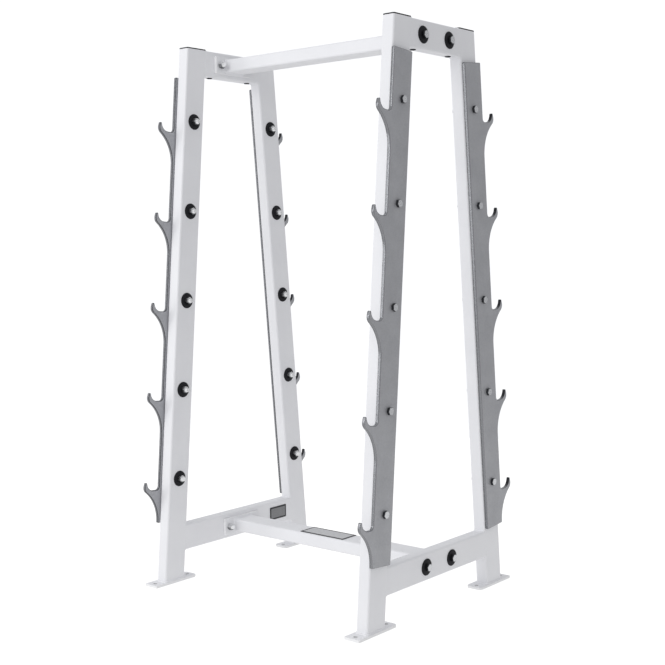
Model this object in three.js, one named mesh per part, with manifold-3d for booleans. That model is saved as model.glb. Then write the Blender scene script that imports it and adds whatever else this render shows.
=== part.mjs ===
// Barbell storage rack: two end frames that lean in towards the top, two crossbars
// bolted between them, and a plate with five hooks on the outside of each upright.
// Lengths are millimetres. +X runs along the stored bars, -Y is the front and +Z is up.
// The origin is the middle of the footprint, on the floor.

import * as THREE from "three";
import { mergeVertices } from "three/addons/utils/BufferGeometryUtils.js";
import Module from "manifold-3d";

const wasm = await Module();
wasm.setup();

// Overall frame
const frameSpan = 795.6; // over the outer faces of the two end frames
const footprintDepth = 642.1; // over the uprights' outer faces, at floor level
const topDepth = 371.3; // the same at the cut tops, which gives the lean
const frameHeight = 1579.1; // floor to the cut tops of the tubes
const lowerTubeHeight = 88.6; // floor to the underside of the lower cross tubes

// Rectangular tube, used for every frame member
const tubeWide = 76.2;
const tubeNarrow = 38.1;
const tubeWall = 3;
const tubeCorner = 6; // outside corner radius

// Foot plates
const footWidth = 50.8;
const footLength = 162;
const footThick = 7;
const footInset = 2.5; // the plate sits this much further in than its upright
const footOuterCorner = 4;
const footInnerCorner = 12;
const anchorHole = 11;
const anchorEdge = 17; // hole centre from the end of the plate

// End caps in the tops of the uprights
const capLid = 3;
const capDepth = 18;
const capWall = 2.5;

// Bolts, nuts and the black discs under them
const boltDiameter = 12.7;
const boltClearance = 0.4; // on the radius
const hexAcross = 19; // across the flats of heads and nuts
const headHeight = 8;
const crossbarHead = 9.5; // heads on the cross tubes are taller
const nutHeight = 11;
const boltTail = 7; // bolt end past the nut
const discDiameter = 46;
const discThick = 2.6;
const discEdge = 1;
const discCrown = 30; // diameter of the disc's flat middle

// Hook plates
const plateThick = 9.5;
const plateWide = 78.4;
const plateProud = 5.5; // the hook edge stands ahead of the upright's face
const plateCorner = 3;
const plateAbove = 128; // top bolt to the plate's top end
const plateBelow = 3.2; // straight edge under the lowest flare
const hookCount = 5;
const firstBolt = 309; // floor to the lowest bolt
const lastBolt = 214.4; // highest bolt to the cut tops of the tubes

// One hook: the throat that holds the bar, the prong in front and the flare below
const throatMouth = 47; // plate edge to prong
const throatDrop = 35.2; // bolt level down to the bottom of the throat
const throatRadius = 24; // on the prong's side
const throatCorner = 11; // on the upright's side
const prongThick = 6.2; // at its round tip
const prongDrop = 14.6; // bolt level down to the centre of the prong's round tip
const knuckleProud = 2.3; // beyond the prong's tip
const knuckleRadius = 19;
const knuckleDrop = 26;
const flareRadius = 108;

// Crossbars and their flanges
const flangeThick = 9.5;
const flangeTall = 50.8;
const flangeLength = 156;
const flangeCorner = 3;
const flangeBolt = 60; // bolt centre from the middle of the rack

// Plugs in the underside of the upper cross tubes
const plugStem = 10;
const plugHead = 16.5;
const plugProud = 2.2;
const plugLength = 6;
const plugEdge = 35; // centre from the upright
const plugRound = 1.5;

// Plain plates with nothing on them
const placardLength = 164;
const placardWidth = 64;
const nameplateLength = 76;
const nameplateHeight = 41;
const nameplateEdge = 23.7; // from the rear upright
const signThick = 1;
const signCorner = 2;

const fitGap = 0.3; // between pieces that touch
const cutOverrun = 5; // how far a cutter passes the face that it cuts

// How finely the rounds are faceted
const cornerSteps = 2;
const boltSides = 10;
const discSides = 16;
const tipSteps = 5;
const throatSteps = 6;
const knuckleSteps = 4;
const flareSteps = 7;

// Sizes and places that follow from those above
const lean = Math.atan2((footprintDepth - topDepth) / 2, frameHeight);
const frameCentre = (frameSpan - tubeNarrow) / 2;
const uprightLevelWidth = tubeWide / Math.cos(lean); // the upright's width on a level cut
const boltHole = boltDiameter / 2 + boltClearance;
const plateInner = tubeNarrow / 2 + fitGap;
const plateOuter = plateInner + plateThick;
const flangeFace = tubeNarrow / 2 + fitGap + flangeThick;
const crossbarLength = 2 * (frameCentre - flangeFace - fitGap);
const hookRise = (frameHeight - firstBolt - lastBolt) / (hookCount - 1);
const hookPitch = hookRise / Math.cos(lean); // between bolts, along the upright
const upperCentre = frameHeight - tubeWide / 2;
const lowerCentre = lowerTubeHeight + tubeWide / 2;
const upperUnderside = frameHeight - tubeWide;
const plugCentre = uprightInside(upperUnderside) - plugEdge;
const nameplateCentre = uprightInside(lowerCentre) - nameplateEdge - nameplateLength / 2;
const quarter = Math.PI / 2;
const levels = [
  { name: "upper", centre: upperCentre },
  { name: "lower", centre: lowerCentre },
];
const sides = [
  { name: "left", side: -1 },
  { name: "right", side: 1 },
];
const ends = [
  { name: "front", end: -1 },
  { name: "rear", end: 1 },
];

const finishes = {
  whitePaint: new THREE.MeshStandardMaterial({ color: 0xe8e8eb, roughness: 0.45, metalness: 0 }),
  hookPaint: new THREE.MeshStandardMaterial({ color: 0x8d8e93, roughness: 0.45, metalness: 0.4 }),
  zinc: new THREE.MeshStandardMaterial({ color: 0xc6c7cb, roughness: 0.3, metalness: 1 }),
  blackPlastic: new THREE.MeshStandardMaterial({ color: 0x2e2f33, roughness: 0.5, metalness: 0 }),
  placard: new THREE.MeshStandardMaterial({ color: 0xc9cacd, roughness: 0.4, metalness: 0 }),
  nameplate: new THREE.MeshStandardMaterial({ color: 0x74757a, roughness: 0.4, metalness: 0.2 }),
};

// Distance from the middle of the rack to an upright's centre line at a height.
function uprightCentre(height) {
  return (footprintDepth - uprightLevelWidth) / 2 - height * Math.tan(lean);
}

// Distance from the middle of the rack to the inner edge of an upright at a height.
function uprightInside(height) {
  return uprightCentre(height) - uprightLevelWidth / 2;
}

// Height of a hook bolt, counted up from the lowest.
function boltHeight(index) {
  return firstBolt + index * hookRise;
}

// Points along an arc, both ends included. Angles are radians, anticlockwise.
function arc(x, y, radius, from, to, steps) {
  const points = [];
  for (let i = 0; i <= steps; i += 1) {
    const angle = from + ((to - from) * i) / steps;
    points.push(new THREE.Vector2(x + radius * Math.cos(angle), y + radius * Math.sin(angle)));
  }
  return points;
}

// A circle's points, without repeating the first.
function circle(x, y, radius, count) {
  return arc(x, y, radius, 0, 2 * Math.PI, count).slice(0, count);
}

// A rectangle centred on x = 0 from low to high, with a corner radius at each end.
function roundedRectangle(width, low, high, lowRadius, highRadius) {
  const lowX = width / 2 - lowRadius;
  const highX = width / 2 - highRadius;
  const lowY = low + lowRadius;
  const highY = high - highRadius;
  return [
    ...arc(-lowX, lowY, lowRadius, -2 * quarter, -quarter, cornerSteps),
    ...arc(lowX, lowY, lowRadius, -quarter, 0, cornerSteps),
    ...arc(highX, highY, highRadius, 0, quarter, cornerSteps),
    ...arc(-highX, highY, highRadius, quarter, 2 * quarter, cornerSteps),
  ];
}

// A prism along +Z from the outline, starting at z = 0, with holes given as point lists.
function prism(outline, depth, holes = []) {
  const shape = new THREE.Shape(outline);
  shape.holes = holes.map((points) => new THREE.Path(points));
  return new THREE.ExtrudeGeometry(shape, { depth, bevelEnabled: false });
}

// Turns a prism's section from XY to YZ, so that its length runs along +X.
function alongX(geometry) {
  const y = new THREE.Vector3(0, 1, 0);
  const z = new THREE.Vector3(0, 0, 1);
  const x = new THREE.Vector3(1, 0, 0);
  return geometry.applyMatrix4(new THREE.Matrix4().makeBasis(y, z, x));
}

// A length of rectangular tube along +Z, its section centred on the axis.
function tube(sizeX, sizeY, length) {
  const outer = roundedRectangle(sizeX, -sizeY / 2, sizeY / 2, tubeCorner, tubeCorner);
  const innerCorner = tubeCorner - tubeWall;
  const innerY = sizeY / 2 - tubeWall;
  const inner = roundedRectangle(sizeX - 2 * tubeWall, -innerY, innerY, innerCorner, innerCorner);
  return prism(outer, length, [inner]);
}

// A geometry as a solid that can be cut and joined.
function solid(geometry) {
  const skin = geometry.clone();
  skin.deleteAttribute("normal");
  skin.deleteAttribute("uv");
  const merged = mergeVertices(skin);
  const vertProperties = new Float32Array(merged.getAttribute("position").array);
  const triVerts = new Uint32Array(merged.getIndex().array);
  return new wasm.Manifold(new wasm.Mesh({ numProp: 3, vertProperties, triVerts }));
}

// A cut or joined solid back as a geometry.
function geometryOf(body) {
  const { vertProperties, triVerts } = body.getMesh();
  const geometry = new THREE.BufferGeometry();
  geometry.setAttribute("position", new THREE.BufferAttribute(vertProperties, 3));
  geometry.setIndex(new THREE.BufferAttribute(triVerts, 1));
  geometry.computeVertexNormals();
  return geometry;
}

// A round bar along X through (y, z), as a solid.
function barAlongX(radius, from, to, y, z, count) {
  const bar = alongX(prism(circle(0, 0, radius, count), to - from));
  return solid(bar.translate(from, y, z));
}

// A hexagonal prism along X about the axis, as a solid.
function hexAlongX(from, to) {
  const corner = hexAcross / Math.sqrt(3);
  return solid(alongX(prism(circle(0, 0, corner, 6), to - from)).translate(from, 0, 0));
}

// Leans a geometry in towards the middle of the rack, as the upright at that end does.
function leaned(geometry, end) {
  const shear = new THREE.Matrix4().makeShear(0, 0, 0, 0, 0, -end * Math.tan(lean));
  return geometry.applyMatrix4(shear);
}

// An upright stands on its foot plate, drilled for the hook plate's bolts.
function uprightGeometry(end) {
  const base = footThick + fitGap;
  const straight = tube(tubeNarrow, uprightLevelWidth, frameHeight - base).translate(0, 0, base);
  let body = solid(leaned(straight, end).translate(0, end * uprightCentre(0), 0));
  const reach = tubeNarrow / 2 + cutOverrun;
  for (let i = 0; i < hookCount; i += 1) {
    const height = boltHeight(i);
    const y = end * uprightCentre(height);
    body = body.subtract(barAlongX(boltHole, -reach, reach, y, height, boltSides));
  }
  return geometryOf(body);
}

// A cross tube runs between the uprights, its ends cut to their lean.
function crossTubeGeometry(level) {
  const geometry = tube(tubeNarrow, tubeWide, 1).translate(0, 0, -1 / 2);
  geometry.rotateX(Math.PI / 2).translate(0, 0, level.centre);
  const position = geometry.getAttribute("position");
  for (let i = 0; i < position.count; i += 1) {
    const halfLength = uprightInside(position.getZ(i)) - fitGap;
    position.setY(i, 2 * position.getY(i) * halfLength);
  }
  let body = solid(geometry);
  const reach = tubeNarrow / 2 + cutOverrun;
  for (const { end } of ends) {
    body = body.subtract(barAlongX(boltHole, -reach, reach, end * flangeBolt, level.centre, boltSides));
    if (level.name === "upper") {
      body = body.subtract(plugCutter(end));
    }
  }
  return geometryOf(body);
}

// The hole for a plug, through the underside of an upper cross tube.
function plugCutter(end) {
  const radius = plugStem / 2 + fitGap;
  const cutter = prism(circle(0, 0, radius, boltSides), tubeWall + 2 * cutOverrun);
  return solid(cutter.translate(0, end * plugCentre, upperUnderside - cutOverrun));
}

// A foot plate, seen from above, with an anchor hole at each end.
function footGeometry(end) {
  const half = footLength / 2;
  const [lowRadius, highRadius] =
    end < 0 ? [footOuterCorner, footInnerCorner] : [footInnerCorner, footOuterCorner];
  const outline = roundedRectangle(footWidth, -half, half, lowRadius, highRadius);
  const holes = ends.map((at) => circle(0, at.end * (half - anchorEdge), anchorHole / 2, boltSides));
  return prism(outline, footThick, holes);
}

// An end cap: a lid over the tube's cut top and a hollow plug inside it.
function capGeometry(end) {
  const lid = roundedRectangle(
    tubeNarrow, -uprightLevelWidth / 2, uprightLevelWidth / 2, tubeCorner, tubeCorner);
  const inset = 2 * (tubeWall + fitGap);
  const plugX = tubeNarrow - inset;
  const plugY = uprightLevelWidth - inset;
  const corner = tubeCorner - tubeWall;
  const plug = roundedRectangle(plugX, -plugY / 2, plugY / 2, corner, corner);
  const hollowY = plugY / 2 - capWall;
  const hollowCorner = corner / 2;
  const hollow = roundedRectangle(plugX - 2 * capWall, -hollowY, hollowY, hollowCorner, hollowCorner);
  const tubePlug = leaned(prism(plug, capDepth + capLid / 2).translate(0, 0, -capDepth), end);
  const cavity = leaned(prism(hollow, capDepth + cutOverrun).translate(0, 0, -capDepth - cutOverrun), end);
  return geometryOf(solid(prism(lid, capLid)).add(solid(tubePlug)).subtract(solid(cavity)));
}

// The outline of one hook about its bolt, from the flare below up to the throat.
// The first coordinate is the distance ahead of the upright's face.
function hookOutline() {
  const reach = plateProud + throatMouth + prongThick;
  const tipRadius = prongThick / 2;
  const knuckleX = reach + knuckleProud - knuckleRadius;
  const flareX = plateProud + flareRadius;
  const rise = Math.sqrt((flareRadius + knuckleRadius) ** 2 - (flareX - knuckleX) ** 2);
  const turn = Math.atan2(rise, flareX - knuckleX);
  const throatX = plateProud + throatMouth - throatRadius;
  const throatY = throatRadius - throatDrop;
  const tipX = reach - tipRadius;
  const tipAngle = Math.atan2(-prongDrop - throatY, tipX - throatX);
  const tipDistance = Math.hypot(tipX - throatX, -prongDrop - throatY);
  const inside = tipAngle - Math.acos((throatRadius + tipRadius) / tipDistance);
  const lift = knuckleDrop - prongDrop;
  const backAngle = Math.atan2(lift, tipX - knuckleX);
  const backDistance = Math.hypot(tipX - knuckleX, lift);
  const outside = backAngle - Math.acos((knuckleRadius - tipRadius) / backDistance);
  const cornerX = plateProud + throatCorner;
  const cornerY = throatCorner - throatDrop;
  return [
    ...arc(flareX, -knuckleDrop - rise, flareRadius, Math.PI, Math.PI - turn, flareSteps),
    ...arc(knuckleX, -knuckleDrop, knuckleRadius, -turn, outside, knuckleSteps).slice(1),
    ...arc(tipX, -prongDrop, tipRadius, outside, Math.PI + inside, tipSteps),
    ...arc(throatX, throatY, throatRadius, inside, -quarter, throatSteps),
    ...arc(cornerX, cornerY, throatCorner, -quarter, -2 * quarter, cornerSteps),
  ];
}

// A hook plate about its lowest bolt, with its length along Z and its hooks towards the end.
function hookPlateGeometry(end) {
  const hook = hookOutline();
  const bottom = hook[0].y - plateBelow;
  const top = (hookCount - 1) * hookPitch + plateAbove;
  const back = plateProud - plateWide;
  const centreToFace = tubeWide / 2;
  const outline = [
    ...arc(back + plateCorner, bottom + plateCorner, plateCorner, -2 * quarter, -quarter, cornerSteps),
    ...arc(plateProud - plateCorner, bottom + plateCorner, plateCorner, -quarter, 0, cornerSteps),
  ];
  const holes = [];
  for (let i = 0; i < hookCount; i += 1) {
    const rise = i * hookPitch;
    outline.push(...hook.map((point) => new THREE.Vector2(point.x, point.y + rise)));
    holes.push(circle(0, rise, boltHole, boltSides));
  }
  outline.push(
    ...arc(plateProud - plateCorner, top - plateCorner, plateCorner, 0, quarter, cornerSteps),
    ...arc(back + plateCorner, top - plateCorner, plateCorner, quarter, 2 * quarter, cornerSteps),
  );
  const facing = outline.map((point) => new THREE.Vector2(end * (point.x + centreToFace), point.y));
  return alongX(prism(facing, plateThick, holes));
}

// A black disc about the X axis, flat against x = 0 and domed towards +X.
function disc() {
  const crown = discCrown / 2;
  const rim = discDiameter / 2;
  const profile = [
    new THREE.Vector2(0, 0),
    new THREE.Vector2(rim, 0),
    new THREE.Vector2(rim, discEdge),
    new THREE.Vector2(crown, discThick),
    new THREE.Vector2(0, discThick),
  ];
  const lathe = new THREE.LatheGeometry(profile, discSides);
  return lathe.rotateZ(-Math.PI / 2);
}

// A bolt through the upright: head on the hook plate, disc and nut on the inner face.
function plateBoltGeometry() {
  const headSeat = plateOuter + fitGap;
  const discSeat = -tubeNarrow / 2 - fitGap;
  const nutEnd = discSeat - discThick - nutHeight;
  const head = hexAlongX(headSeat, headSeat + headHeight);
  const shank = barAlongX(boltDiameter / 2, nutEnd - boltTail, headSeat + headHeight / 2, 0, 0, boltSides);
  const pad = solid(disc().rotateZ(Math.PI).translate(discSeat, 0, 0));
  const nut = hexAlongX(nutEnd, discSeat - discThick / 2);
  return geometryOf(head.add(shank).add(pad).add(nut));
}

// A bolt through a cross tube and a flange: head and disc outside, nut on the flange.
function crossbarBoltGeometry() {
  const discSeat = tubeNarrow / 2 + fitGap;
  const headEnd = discSeat + discThick + crossbarHead;
  const nutSeat = -flangeFace - fitGap;
  const nutEnd = nutSeat - nutHeight;
  const head = hexAlongX(discSeat + discThick / 2, headEnd);
  const shank = barAlongX(boltDiameter / 2, nutEnd - boltTail, headEnd - crossbarHead / 2, 0, 0, boltSides);
  const pad = solid(disc().translate(discSeat, 0, 0));
  const nut = hexAlongX(nutEnd, nutSeat);
  return geometryOf(head.add(shank).add(pad).add(nut));
}

// A flange welded on a crossbar's end, drilled for the two bolts.
function flangeGeometry() {
  const outline = roundedRectangle(
    flangeLength, -flangeTall / 2, flangeTall / 2, flangeCorner, flangeCorner);
  const holes = ends.map(({ end }) => circle(end * flangeBolt, 0, boltHole, boltSides));
  return alongX(prism(outline, flangeThick, holes));
}

// A round plug pushed into a cross tube from below; z = 0 is the tube's underside.
function plugGeometry() {
  const face = -plugProud;
  const profile = [
    new THREE.Vector2(0, face),
    new THREE.Vector2(plugHead / 2 - plugRound, face),
    new THREE.Vector2(plugHead / 2, face + plugRound),
    new THREE.Vector2(plugHead / 2, -fitGap),
    new THREE.Vector2(plugStem / 2, -fitGap),
    new THREE.Vector2(plugStem / 2, plugLength),
    new THREE.Vector2(0, plugLength),
  ];
  return new THREE.LatheGeometry(profile, boltSides).rotateX(Math.PI / 2);
}

// A thin plate with rounded corners, lying in XY.
function signGeometry(length, width) {
  return prism(roundedRectangle(length, -width / 2, width / 2, signCorner, signCorner), signThick);
}

// Adds a named mesh to a group and returns it for placing.
function add(group, name, geometry, finish) {
  const mesh = new THREE.Mesh(geometry, finish);
  mesh.name = name;
  group.add(mesh);
  return mesh;
}

// One corner of an end frame: the upright with its foot, cap, hook plate and bolts.
function addCorner(group, tag, end) {
  add(group, `upright_${tag}`, uprightGeometry(end), finishes.whitePaint);
  const foot = add(group, `foot_plate_${tag}`, footGeometry(end), finishes.whitePaint);
  foot.position.y = end * (uprightCentre(0) - footInset);
  const cap = add(group, `end_cap_${tag}`, capGeometry(end), finishes.blackPlastic);
  cap.position.set(0, end * uprightCentre(frameHeight), frameHeight + fitGap);
  const plate = add(group, `hook_plate_${tag}`, hookPlateGeometry(end), finishes.hookPaint);
  plate.position.set(plateInner, end * uprightCentre(firstBolt), firstBolt);
  plate.rotation.x = end * lean;
  for (let i = 0; i < hookCount; i += 1) {
    const height = boltHeight(i);
    const bolt = add(group, `plate_bolt_${tag}_${i + 1}`, plateBoltGeometry(), finishes.zinc);
    bolt.position.set(0, end * uprightCentre(height), height);
    bolt.rotation.x = end * lean;
  }
}

// One end frame about its own middle plane, with its outer face towards +X.
function endFrame(name, side) {
  const group = new THREE.Group();
  for (const at of ends) {
    addCorner(group, `${name}_${at.name}`, side * at.end);
    const plug = add(group, `plug_${name}_${at.name}`, plugGeometry(), finishes.blackPlastic);
    plug.position.set(0, side * at.end * plugCentre, upperUnderside);
  }
  for (const level of levels) {
    const tag = `${name}_${level.name}`;
    add(group, `cross_tube_${tag}`, crossTubeGeometry(level), finishes.whitePaint);
    const flange = add(group, `flange_${tag}`, flangeGeometry(), finishes.whitePaint);
    flange.position.set(-flangeFace, 0, level.centre);
    for (const at of ends) {
      const boltName = `crossbar_bolt_${tag}_${at.name}`;
      const bolt = add(group, boltName, crossbarBoltGeometry(), finishes.zinc);
      bolt.position.set(0, side * at.end * flangeBolt, level.centre);
    }
  }
  group.position.x = side * frameCentre;
  group.rotation.z = side < 0 ? Math.PI : 0;
  return group;
}

const rack = new THREE.Group();

for (const { name, side } of sides) {
  rack.add(endFrame(name, side));
}

for (const level of levels) {
  const crossbar = alongX(tube(tubeWide, tubeNarrow, crossbarLength));
  const bar = add(rack, `crossbar_${level.name}`, crossbar, finishes.whitePaint);
  bar.position.set(-crossbarLength / 2, 0, level.centre);
}

const placard = add(rack, "placard", signGeometry(placardLength, placardWidth), finishes.placard);
placard.position.z = lowerCentre + tubeNarrow / 2 + fitGap;

const nameplate = add(
  rack, "nameplate", alongX(signGeometry(nameplateLength, nameplateHeight)), finishes.nameplate);
nameplate.position.set(-frameCentre + tubeNarrow / 2 + fitGap, nameplateCentre, lowerCentre);

export default rack;
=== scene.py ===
# %% [markdown]
# # A barbell storage rack
#
# The rack is two end frames of painted steel tube that lean in towards the top, held
# apart by two crossbars. Each upright carries a grey plate with five hooks on its outer
# face, so a bar lies across the rack with its sleeves outside the frames.
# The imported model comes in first. It stays fixed, and every new piece goes where it says.

import bmesh
import bpy
import numpy as np
from mathutils import Matrix, Vector
from mathutils.geometry import tessellate_polygon


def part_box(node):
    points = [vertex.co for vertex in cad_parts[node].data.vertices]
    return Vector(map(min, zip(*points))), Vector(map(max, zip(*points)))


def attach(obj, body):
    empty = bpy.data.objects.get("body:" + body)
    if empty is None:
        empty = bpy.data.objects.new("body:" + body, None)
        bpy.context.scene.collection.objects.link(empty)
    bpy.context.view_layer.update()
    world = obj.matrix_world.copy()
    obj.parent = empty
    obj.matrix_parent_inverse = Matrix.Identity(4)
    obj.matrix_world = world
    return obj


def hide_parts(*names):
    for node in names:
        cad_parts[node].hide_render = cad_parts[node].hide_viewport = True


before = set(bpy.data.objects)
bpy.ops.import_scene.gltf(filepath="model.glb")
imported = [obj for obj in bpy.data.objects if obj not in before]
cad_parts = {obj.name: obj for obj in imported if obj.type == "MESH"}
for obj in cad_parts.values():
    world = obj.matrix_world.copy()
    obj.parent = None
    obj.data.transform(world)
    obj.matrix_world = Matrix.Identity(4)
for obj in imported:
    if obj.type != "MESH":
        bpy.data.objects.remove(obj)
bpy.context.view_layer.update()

# %% [markdown]
# ## The camera
#
# The picture was taken from a little above waist height, to the right of the front, with
# a long lens. A camera can be aimed by hand or with a constraint that tracks an empty.
# Here the aim was solved from the corners of the rack, so it is given as two turns and a
# roll, and the three axes of the camera's matrix follow from them.

# %% Camera
yaw, tilt, roll = np.radians([39.949, 4.458, -0.709])
lens_length, sensor_width = 63.02, 36.0
camera_place = (2.1903, -2.5832, 1.0057)
ahead = np.array([-np.sin(yaw) * np.cos(tilt), np.cos(yaw) * np.cos(tilt), -np.sin(tilt)])
level = np.array([np.cos(yaw), np.sin(yaw), 0.0])
above = np.cross(level, ahead)
right = level * np.cos(roll) + above * np.sin(roll)
up = above * np.cos(roll) - level * np.sin(roll)

camera = bpy.data.objects.new("camera", bpy.data.cameras.new("camera"))
camera.data.lens, camera.data.sensor_width = lens_length, sensor_width
camera.matrix_world = Matrix(np.column_stack([right, up, -ahead]).tolist()).to_4x4()
camera.location = camera_place
bpy.context.scene.collection.objects.link(camera)
bpy.context.scene.camera = camera
print("camera looks along", np.round(ahead, 3).tolist())

# %% [markdown]
# ## The sizes
#
# These are the sizes that the solids were drawn with, in metres. The lean isn't a size of
# its own: the frames are 642.1 mm deep at the floor and 371.3 mm at the top, and the angle
# follows. Two small functions give an upright's place at any height.

# %% Sizes of the frame
mm = 0.001
frame_span, frame_height = 795.6 * mm, 1579.1 * mm
footprint_depth, top_depth = 642.1 * mm, 371.3 * mm
lower_tube_height = 88.6 * mm
tube_wide, tube_narrow, tube_wall, tube_corner = 76.2 * mm, 38.1 * mm, 3 * mm, 6 * mm
foot_thick = 7 * mm
fit_gap = 0.3 * mm

lean = np.arctan((footprint_depth - top_depth) / 2 / frame_height)
frame_centre = (frame_span - tube_narrow) / 2
level_width = tube_wide / np.cos(lean)
cross_heights = {"upper": frame_height - tube_wide / 2, "lower": lower_tube_height + tube_wide / 2}
sides = {"left": -1, "right": 1}
ends = {"front": -1, "rear": 1}
corners = [(f"{side_name}_{end_name}", side, end)
           for side_name, side in sides.items() for end_name, end in ends.items()]


def upright_centre(height):
    """Half the footprint less half the tube, less the height times the lean's tangent."""
    return (footprint_depth - level_width) / 2 - height * np.tan(lean)


def upright_inside(height):
    """The upright's centre less half its width, measured level."""
    return upright_centre(height) - level_width / 2


print("lean", round(float(np.degrees(lean)), 2), "degrees")

# %% [markdown]
# ## White powder coat
#
# The tubes are sprayed with white powder that melts into a thick, slightly glossy skin.
# From near, it has the fine waves of orange peel, about 2 mm across. It could be one colour with
# one roughness, but then every tube looks like plastic. So noise in Object coordinates, which are
# metres here, drives the waves, the gloss and a faint warm and cool drift. The rounded edges are
# painted a touch lighter in patches, a painted highlight, and the walls of the anchor holes in the
# feet are painted dark, a painted shade.

# %% Helpers for finishes
def new_finish(name):
    """An empty node material with its shader, and the Object coordinates to paint by."""
    finish = bpy.data.materials.new(name)
    finish.use_nodes = True
    nodes = finish.node_tree.nodes
    where = nodes.new("ShaderNodeTexCoord").outputs["Object"]
    return finish, nodes["Principled BSDF"], where


def put(value, socket):
    """Sets a socket to a number or a colour, or links another node's value to it."""
    if isinstance(value, bpy.types.NodeSocket):
        socket.id_data.links.new(value, socket)
    else:
        socket.default_value = (*value, 1.0) if isinstance(value, tuple) else value


def noise(where, size, detail=2.0):
    """Noise whose blobs are about the given size: its scale is one over the size. Like
    the others here, it adds its node to the tree that the given socket is in."""
    node = where.id_data.nodes.new("ShaderNodeTexNoise")
    put(where, node.inputs["Vector"])
    put(1.0 / size, node.inputs["Scale"])
    put(detail, node.inputs["Detail"])
    return node.outputs["Fac"]


def spread(value, low, high, start=0.3, stop=0.7):
    """Maps start..stop of a value to low..high, straight between and held outside."""
    node = value.id_data.nodes.new("ShaderNodeMapRange")
    limits = {"From Min": start, "From Max": stop, "To Min": low, "To Max": high}
    for name, given in {"Value": value, **limits}.items():
        put(given, node.inputs[name])
    return node.outputs["Result"]


def clouds(where, size, detail=2.0):
    """Noise that is stretched to fill 0 to 1, to mix two colours by."""
    return spread(noise(where, size, detail), 0.0, 1.0)


def blend(value, first, second):
    """A colour between two others: first where the value is 0, second where it is 1."""
    node = value.id_data.nodes.new("ShaderNodeMix")
    node.data_type = "RGBA"
    for number, given in {0: value, 6: first, 7: second}.items():
        put(given, node.inputs[number])
    return node.outputs[2]


def maths(operation, first, second):
    """One sum on a socket's value and a second one, a socket or a number."""
    node = first.id_data.nodes.new("ShaderNodeMath")
    node.operation = operation
    put(first, node.inputs[0])
    put(second, node.inputs[1])
    return node.outputs["Value"]


def emboss(height, depth, shader):
    """Tilts the shading as if the surface rose by depth where the height value is 1."""
    node = height.id_data.nodes.new("ShaderNodeBump")
    put(depth, node.inputs["Distance"])
    put(height, node.inputs["Height"])
    put(node.outputs["Normal"], shader.inputs["Normal"])


def mark(where, name):
    """A value kept on the mesh. The edge mark is 1 on a rounded edge and 0 on the faces. By it,
    the white paint and the zinc paint a highlight, and the hook paint a shade. The second mark is
    1 where a surface is painted darker, a painted shade."""
    node = where.id_data.nodes.new("ShaderNodeAttribute")
    node.attribute_name = name
    return node.outputs["Fac"]


def coloured(shader, colour, gloss):
    """Gives the shader its colour and its roughness."""
    put(colour, shader.inputs["Base Color"])
    put(gloss, shader.inputs["Roughness"])


# %% White powder coat
white_paint, shader, where = new_finish("white_powder_coat")
drift = clouds(where, 120 * mm)
coat = blend(drift, (0.835, 0.838, 0.865), (0.865, 0.868, 0.892))
# Painted highlight: the rounded edges are painted lighter, in patches of about 9 mm.
edge_highlight_patches = noise(where, 9 * mm)
patchy_edge_highlight = maths("MULTIPLY", mark(where, "edge"), edge_highlight_patches)
coat = blend(patchy_edge_highlight, coat, (0.93, 0.93, 0.93))
# Painted shade: the walls of the anchor holes in the feet are painted dark.
coat = blend(mark(where, "painted_shade"), coat, (0.10, 0.10, 0.11))
gloss = spread(noise(where, 14 * mm, 4.0), 0.40, 0.52)
waves, fine_waves = noise(where, 2 * mm, 1.0), noise(where, 0.6 * mm)
peel = maths("ADD", waves, fine_waves)
coloured(shader, coat, gloss)
emboss(peel, 0.06 * mm, shader)
print(white_paint.name, len(white_paint.node_tree.nodes), "nodes")

# %% [markdown]
# ## Grey hook paint
#
# The hook plates are cut from thick plate and sprayed with a metallic grey. Tiny flakes lie in the
# paint and catch the light one by one, which noise finer than half a millimetre gives, over a
# faint mottle of 3 mm. The cut edges are rounded and painted darker, a painted shade, and made
# glossier and more metallic, so they mirror a lamp as a bright line. The prongs are painted nearly
# black on the side that faces the throat, a painted shade, and so is the rim's inner side against
# the upright. A plain grey with a metallic value would lose all of that.

# %% Grey hook paint
hook_paint, shader, where = new_finish("hook_paint_flaked")
drift = clouds(where, 60 * mm, 3.0)
mottle = spread(noise(where, 2.8 * mm, 2.0), 0.0, 1.0, 0.38, 0.62)
halves = [maths("MULTIPLY", value, 0.5) for value in (drift, mottle)]
both = maths("ADD", *halves)
coat = blend(both, (0.37, 0.375, 0.395), (0.46, 0.465, 0.487))
flakes = spread(noise(where, 0.4 * mm, 1.0), 0.0, 0.35, 0.6, 0.75)
coat = blend(flakes, coat, (0.56, 0.57, 0.59))
rounded = mark(where, "edge")
# Painted shade: the rounded edges are painted a darker grey, and the lines below make them
# glossier and more metallic.
coat = blend(rounded, coat, (0.29, 0.295, 0.31))
# Painted shade: the prong's side that faces the throat and the rim's inner side by the upright are
# painted darker, up to nearly black.
coat = blend(mark(where, "painted_shade"), coat, (0.03, 0.031, 0.035))
gloss = spread(noise(where, 11 * mm, 4.0), 0.38, 0.52)
gloss = maths("SUBTRACT", gloss, maths("MULTIPLY", rounded, 0.2))
coloured(shader, coat, gloss)
shine = maths("ADD", maths("MULTIPLY", rounded, 0.5), 0.35)
put(shine, shader.inputs["Metallic"])
emboss(noise(where, 1.6 * mm, 2.0), 0.05 * mm, shader)
print(hook_paint.name, len(hook_paint.node_tree.nodes), "nodes")

# %% [markdown]
# ## Zinc, black plastic and the two plain signs
#
# Bolts and nuts are zinc plated: bright, with a cloudy grain. A head's flanks and a nut's downward
# sides are painted dark, a painted shade. A bolt's thread and a nut's upward sides are painted
# bright, a painted highlight, and the mesh keeps a value for each. The caps, discs and plugs are
# moulded plastic with a fine spark-eroded grain. The two sign plates are left bare, with a plain
# border that is measured in from the plate's edge.

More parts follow.
